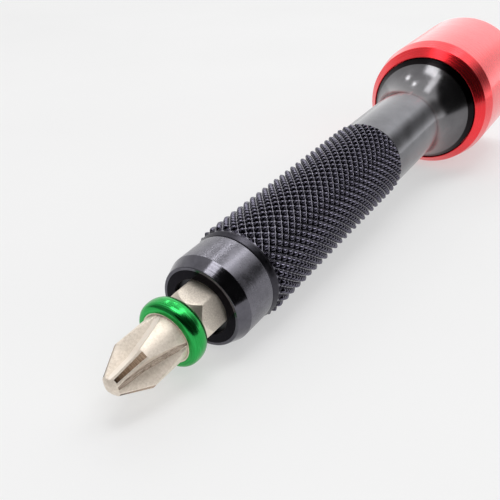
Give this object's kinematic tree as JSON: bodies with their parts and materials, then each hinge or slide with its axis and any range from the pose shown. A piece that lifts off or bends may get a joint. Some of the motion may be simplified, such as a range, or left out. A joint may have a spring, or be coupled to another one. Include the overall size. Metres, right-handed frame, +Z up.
{
  "type": "hand screwdriver",
  "caption": "Slim knurled hand driver in pin vise form: hex bit in a pull-forward nose collar, narrow neck, flared bell and a free-spinning palm knob.",
  "frame": {"origin": "on the tool's axis, in the plane of the nose collar's front face, at the mouth of the bit socket", "axes": "+X along the tool's axis from the bit to the palm knob; +Z up with the tool lying; one corner of the hex lies 10 degrees above +Y"},
  "size_m": [0.1107, 0.0238, 0.0239],
  "materials": {
    "bit_steel": "satin nickel over steel",
    "ring_green": "polished green anodised",
    "collar_black": "satin black anodised with turning marks",
    "barrel_black": "black anodised, knurled grip and glossy neck",
    "bell_black": "mirror polished black anodised",
    "palm_red": "glossy red anodised",
    "cap_black": "satin black anodised, turned face",
    "socket_steel": "turned steel",
    "spring_steel": "drawn wire",
    "bearing_steel": "ground and polished",
    "magnet_nickel": "nickel plated",
    "spindle_steel": "turned steel",
    "cage_brass": "pressed brass",
    "seal_rubber": "matt black"
  },
  "bodies": {
    "barrel": {"grip_barrel": "barrel_black", "bell_flare": "bell_black", "hex_socket": "socket_steel", "socket_magnet": "magnet_nickel", "collar_snap_ring": "spring_steel", "collar_spring": "spring_steel", "palm_spindle": "spindle_steel", "race_spacer": "spindle_steel", "spindle_washer": "spindle_steel", "spindle_screw": "spindle_steel", "front_inner_race": "bearing_steel", "back_inner_race": "bearing_steel"},
    "collar": {"nose_collar": "collar_black", "nose_face_ring": "collar_black"},
    "right_ball": {"lock_ball_right": "bearing_steel"},
    "left_ball": {"lock_ball_left": "bearing_steel"},
    "bit": {"phillips_bit": "bit_steel", "bit_ring": "ring_green"},
    "palm": {"palm_shell": "palm_red", "bearing_circlip": "spring_steel", "front_outer_race": "bearing_steel", "back_outer_race": "bearing_steel", "front_bearing_shields": "spring_steel", "back_bearing_shields": "spring_steel"},
    "front_cage": {"front_bearing_balls": "bearing_steel", "front_bearing_cage": "cage_brass"},
    "back_cage": {"back_bearing_balls": "bearing_steel", "back_bearing_cage": "cage_brass"},
    "end_cap": {"palm_end_cap": "cap_black", "cap_o_ring": "seal_rubber"}
  },
  "joints": [
    {"name": "collar_slide", "type": "slide", "parent": "barrel", "child": "collar", "axis": [-1, 0, 0], "range_m": [0, 0.0012], "stiffness_N_per_m": 800, "springref_m": -0.0015, "deforming": ["collar_spring"]},
    {"name": "right_ball_shift", "type": "slide", "parent": "barrel", "child": "right_ball", "axis": [0, 0.9848, 0.1736], "range_m": [0, 0.00035]},
    {"name": "left_ball_shift", "type": "slide", "parent": "barrel", "child": "left_ball", "axis": [0, -0.9848, -0.1736], "range_m": [0, 0.00035]},
    {"name": "bit_pull", "type": "slide", "parent": "barrel", "child": "bit", "axis": [-1, 0, 0], "range_m": [0, 0.014]},
    {"name": "palm_spin", "type": "hinge", "parent": "barrel", "child": "palm", "pos_m": [0.083, 0, 0], "axis": [1, 0, 0], "continuous": true},
    {"name": "front_cage_spin", "type": "hinge", "parent": "barrel", "child": "front_cage", "pos_m": [0.0755, 0, 0], "axis": [1, 0, 0], "continuous": true},
    {"name": "back_cage_spin", "type": "hinge", "parent": "barrel", "child": "back_cage", "pos_m": [0.0875, 0, 0], "axis": [1, 0, 0], "continuous": true},
    {"name": "end_cap_unscrew", "type": "slide", "parent": "palm", "child": "end_cap", "axis": [1, 0, 0], "range_m": [0, 0.006]}
  ],
  "couplings": [
    {"joint": "right_ball_shift", "follows": "collar_slide", "ratio": 0.29},
    {"joint": "left_ball_shift", "follows": "collar_slide", "ratio": 0.29},
    {"joint": "front_cage_spin", "follows": "palm_spin", "ratio": 0.605},
    {"joint": "back_cage_spin", "follows": "palm_spin", "ratio": 0.605}
  ]
}
